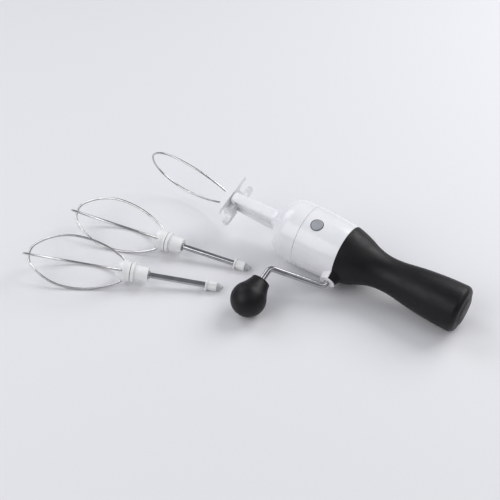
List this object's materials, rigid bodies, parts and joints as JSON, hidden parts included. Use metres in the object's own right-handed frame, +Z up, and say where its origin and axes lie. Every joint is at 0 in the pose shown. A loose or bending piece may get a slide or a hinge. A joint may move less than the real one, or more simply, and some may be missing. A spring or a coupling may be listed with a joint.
{
  "type": "hand-cranked egg beater",
  "caption": "Hand-cranked egg beater with a soft handle, side crank, geared housing, fixed wire loop and snap-in wire beaters laid beside it.",
  "frame": {"origin": "centre of the whole object's outline on the surface that it lies on", "axes": "+Z up, +X along the tool from its wire loop towards the handle's end, +Y from the crank side across to the far side"},
  "size_m": [0.3443, 0.182, 0.0622],
  "materials": {
    "white_plastic": "gloss moulded white plastic",
    "white_drive": "moulded white plastic",
    "grey_drive": "moulded translucent grey plastic",
    "grey_button": "satin grey plastic",
    "soft_black": "soft matt black over-moulding",
    "inner_plastic": "natural acetal",
    "steel_wire": "polished stainless wire",
    "steel_rod": "polished stainless rod",
    "steel_small": "plain steel"
  },
  "bodies": {
    "housing": {"front_cover": "white_plastic", "rear_housing": "white_plastic", "nose_cradle": "white_plastic", "centre_loop": "steel_wire", "gear_carrier": "inner_plastic", "housing_screws": "steel_small", "button_spring": "steel_small", "handle_grip": "soft_black", "handle_core": "inner_plastic", "handle_end_cap": "soft_black", "handle_screw": "steel_small", "crank_bush": "white_plastic", "far_bush": "inner_plastic"},
    "button": {"release_button": "grey_button", "latch_plate": "inner_plastic"},
    "crank": {"crank_rod": "steel_rod", "crown_gear": "inner_plastic", "shaft_clip": "steel_small", "knob_retainer": "steel_small"},
    "knob": {"knob_grip": "soft_black", "knob_core": "inner_plastic"},
    "spindle_near": {"spindle_near": "inner_plastic", "pinion_near": "inner_plastic", "pinion_screw_near": "steel_small"},
    "spindle_far": {"spindle_far": "inner_plastic", "pinion_far": "inner_plastic", "pinion_screw_far": "steel_small"},
    "beater_1_sleeve": {"beater_1_sleeve": "white_plastic"},
    "beater_1_rotor": {"beater_1_outer_loop": "steel_wire", "beater_1_inner_loop": "steel_wire", "beater_1_hub": "white_plastic", "beater_1_shaft": "steel_rod", "beater_1_retaining_ring": "steel_small", "beater_1_stop_disc": "white_drive", "beater_1_drive_hex": "white_drive", "beater_1_drive_tip": "grey_drive"},
    "beater_2_sleeve": {"beater_2_sleeve": "white_plastic"},
    "beater_2_rotor": {"beater_2_outer_loop": "steel_wire", "beater_2_inner_loop": "steel_wire", "beater_2_hub": "white_plastic", "beater_2_shaft": "steel_rod", "beater_2_retaining_ring": "steel_small", "beater_2_stop_disc": "white_drive", "beater_2_drive_hex": "white_drive", "beater_2_drive_tip": "grey_drive"}
  },
  "joints": [
    {"name": "crank_spin", "type": "hinge", "parent": "housing", "child": "crank", "pos_m": [0.0632, 0.06351, 0.0259], "axis": [-0.0195, -0.9373, -0.348], "continuous": true},
    {"name": "knob_spin", "type": "hinge", "parent": "crank", "child": "knob", "pos_m": [0.02068, -0.00013, 0.0218], "axis": [-0.0195, -0.9373, -0.348], "continuous": true},
    {"name": "spindle_near_spin", "type": "hinge", "parent": "housing", "child": "spindle_near", "pos_m": [0.02614, 0.04804, 0.02221], "axis": [0.9984, 0, -0.0558], "continuous": true},
    {"name": "spindle_far_spin", "type": "hinge", "parent": "housing", "child": "spindle_far", "pos_m": [0.02678, 0.07898, 0.03369], "axis": [0.9984, 0, -0.0558], "continuous": true},
    {"name": "button_press", "type": "slide", "parent": "housing", "child": "button", "axis": [-0.0523, 0.3486, -0.9358], "range_m": [0, 0.003], "stiffness_N_per_m": 300, "springref_m": -0.002, "deforming": ["button_spring"]},
    {"name": "beater_1_lift", "type": "slide", "parent": "housing", "child": "beater_1_sleeve", "axis": [0, 0, 1], "range_m": [0, 0.15]},
    {"name": "beater_1_spin", "type": "hinge", "parent": "beater_1_sleeve", "child": "beater_1_rotor", "pos_m": [-0.08134, -0.04469, 0.01185], "axis": [0.8893, 0.4453, -0.1045], "continuous": true},
    {"name": "beater_2_lift", "type": "slide", "parent": "housing", "child": "beater_2_sleeve", "axis": [0, 0, 1], "range_m": [0, 0.15]},
    {"name": "beater_2_spin", "type": "hinge", "parent": "beater_2_sleeve", "child": "beater_2_rotor", "pos_m": [-0.08134, 0.00331, 0.01185], "axis": [0.962, 0.2524, -0.1045], "continuous": true}
  ],
  "couplings": [
    {"joint": "spindle_near_spin", "follows": "crank_spin", "ratio": -3},
    {"joint": "spindle_far_spin", "follows": "crank_spin", "ratio": 3}
  ]
}
